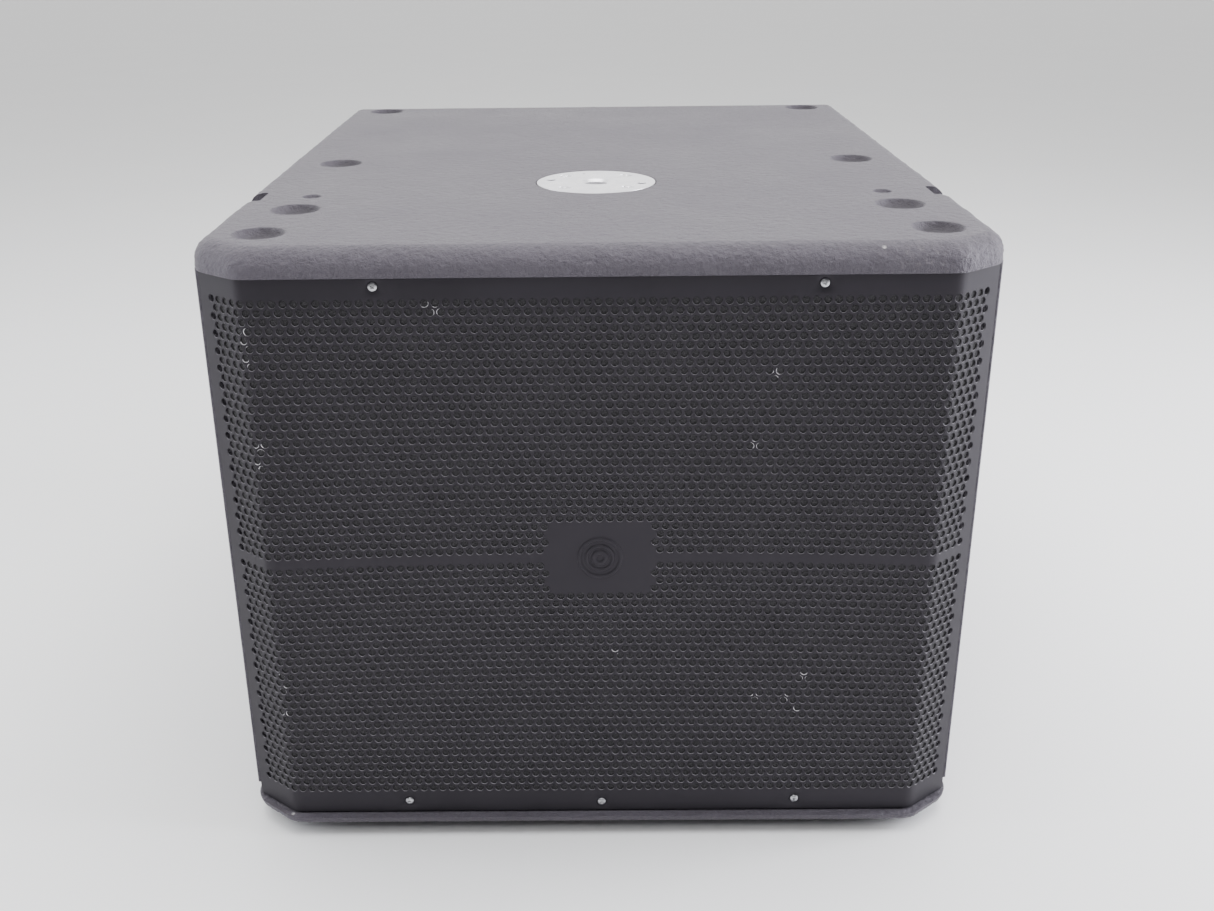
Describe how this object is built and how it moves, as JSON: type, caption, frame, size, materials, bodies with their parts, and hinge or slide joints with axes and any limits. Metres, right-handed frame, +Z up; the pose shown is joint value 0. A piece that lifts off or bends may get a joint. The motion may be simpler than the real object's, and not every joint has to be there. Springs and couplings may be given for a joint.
{
  "type": "subwoofer cabinet",
  "caption": "Ported bass loudspeaker cabinet with a wrap-round perforated steel grille, chamfered front corners, a round pole plate on top, stacking dimples, side handles and rigging links.",
  "frame": {"origin": "on the floor plane under the middle of the cabinet's footprint, at the undersides of the feet", "axes": "+Z up, the grille faces -Y, +X to the right of someone facing the grille"},
  "size_m": [0.597, 0.749, 0.508],
  "materials": {
    "cabinet_paint": "black textured coating over plywood, coarse on the rounded edges, satin-matt",
    "bare_plywood": "plywood with thin matt black primer",
    "grille_steel": "black powder coat on perforated sheet steel, satin, edges rubbed in places",
    "black_foam": "open-cell black foam, fully matt",
    "grille_screw_steel": "worn black-plated steel with bright edges",
    "plate_aluminium": "bare machined aluminium, fine brushed, semi-bright",
    "socket_steel": "plain turned steel",
    "foot_rubber": "moulded black rubber, matt",
    "woofer_casting": "die-cast frame with grey-black powder coat",
    "treated_cloth": "resin-treated pleated cloth",
    "cone_paper": "treated paper pulp, black, matt",
    "coil_copper": "copper winding on a fibreglass former",
    "black_steel": "black powder-coated steel, satin",
    "magnet_ferrite": "sintered ferrite ring, dull grey",
    "black_plastic": "moulded black plastic with a fine grain",
    "zinc_steel": "zinc-plated steel bar, brushed"
  },
  "bodies": {
    "cabinet": {"top_panel": "cabinet_paint", "bottom_panel": "cabinet_paint", "side_panel_left": "cabinet_paint", "side_panel_right": "cabinet_paint", "rear_panel": "cabinet_paint", "baffle_board": "bare_plywood", "port_divider_left": "bare_plywood", "port_divider_right": "bare_plywood", "cross_brace": "bare_plywood", "grille": "grille_steel", "grille_foam": "black_foam", "grille_screw_1": "grille_screw_steel", "grille_screw_2": "grille_screw_steel", "grille_screw_3": "grille_screw_steel", "grille_screw_4": "grille_screw_steel", "grille_screw_5": "grille_screw_steel", "pole_plate": "plate_aluminium", "pole_socket": "socket_steel", "pole_plate_screw_1": "plate_aluminium", "pole_plate_screw_2": "plate_aluminium", "pole_plate_screw_3": "plate_aluminium", "pole_plate_screw_4": "plate_aluminium", "foot_1": "foot_rubber", "foot_2": "foot_rubber", "foot_3": "foot_rubber", "foot_4": "foot_rubber", "woofer_basket": "woofer_casting", "woofer_gasket": "black_foam", "woofer_surround": "treated_cloth", "spider": "treated_cloth", "woofer_top_plate": "black_steel", "woofer_magnet": "magnet_ferrite", "woofer_back_plate": "black_steel", "woofer_bolt_1": "black_steel", "woofer_bolt_2": "black_steel", "woofer_bolt_3": "black_steel", "woofer_bolt_4": "black_steel", "woofer_bolt_5": "black_steel", "woofer_bolt_6": "black_steel", "woofer_bolt_7": "black_steel", "woofer_bolt_8": "black_steel", "input_plate": "black_steel", "input_socket_1": "black_plastic", "input_socket_2": "black_plastic", "input_plate_screw_1": "black_steel", "input_plate_screw_2": "black_steel", "input_plate_screw_3": "black_steel", "input_plate_screw_4": "black_steel", "speaker_lead": "black_plastic", "handle_left": "black_plastic", "handle_right": "black_plastic", "rigging_frame_left": "black_steel", "rigging_frame_right": "black_steel"},
    "cone": {"woofer_cone": "cone_paper", "dust_cap": "cone_paper", "voice_coil": "coil_copper"},
    "link_left": {"rigging_link_left": "zinc_steel"},
    "pin_left": {"rigging_pin_left": "zinc_steel"},
    "link_right": {"rigging_link_right": "zinc_steel"},
    "pin_right": {"rigging_pin_right": "zinc_steel"}
  },
  "joints": [
    {"name": "cone_stroke", "type": "slide", "parent": "cabinet", "child": "cone", "axis": [0, -1, 0], "range_m": [-0.009, 0.009], "stiffness_N_per_m": 6000, "deforming": ["woofer_surround", "spider"]},
    {"name": "link_slide_left", "type": "slide", "parent": "cabinet", "child": "link_left", "axis": [0, 0, 1], "range_m": [0, 0.06]},
    {"name": "pin_pull_left", "type": "slide", "parent": "cabinet", "child": "pin_left", "axis": [-1, 0, 0], "range_m": [0, 0.012], "stiffness_N_per_m": 800},
    {"name": "link_slide_right", "type": "slide", "parent": "cabinet", "child": "link_right", "axis": [0, 0, 1], "range_m": [0, 0.06]},
    {"name": "pin_pull_right", "type": "slide", "parent": "cabinet", "child": "pin_right", "axis": [1, 0, 0], "range_m": [0, 0.012], "stiffness_N_per_m": 800}
  ]
}
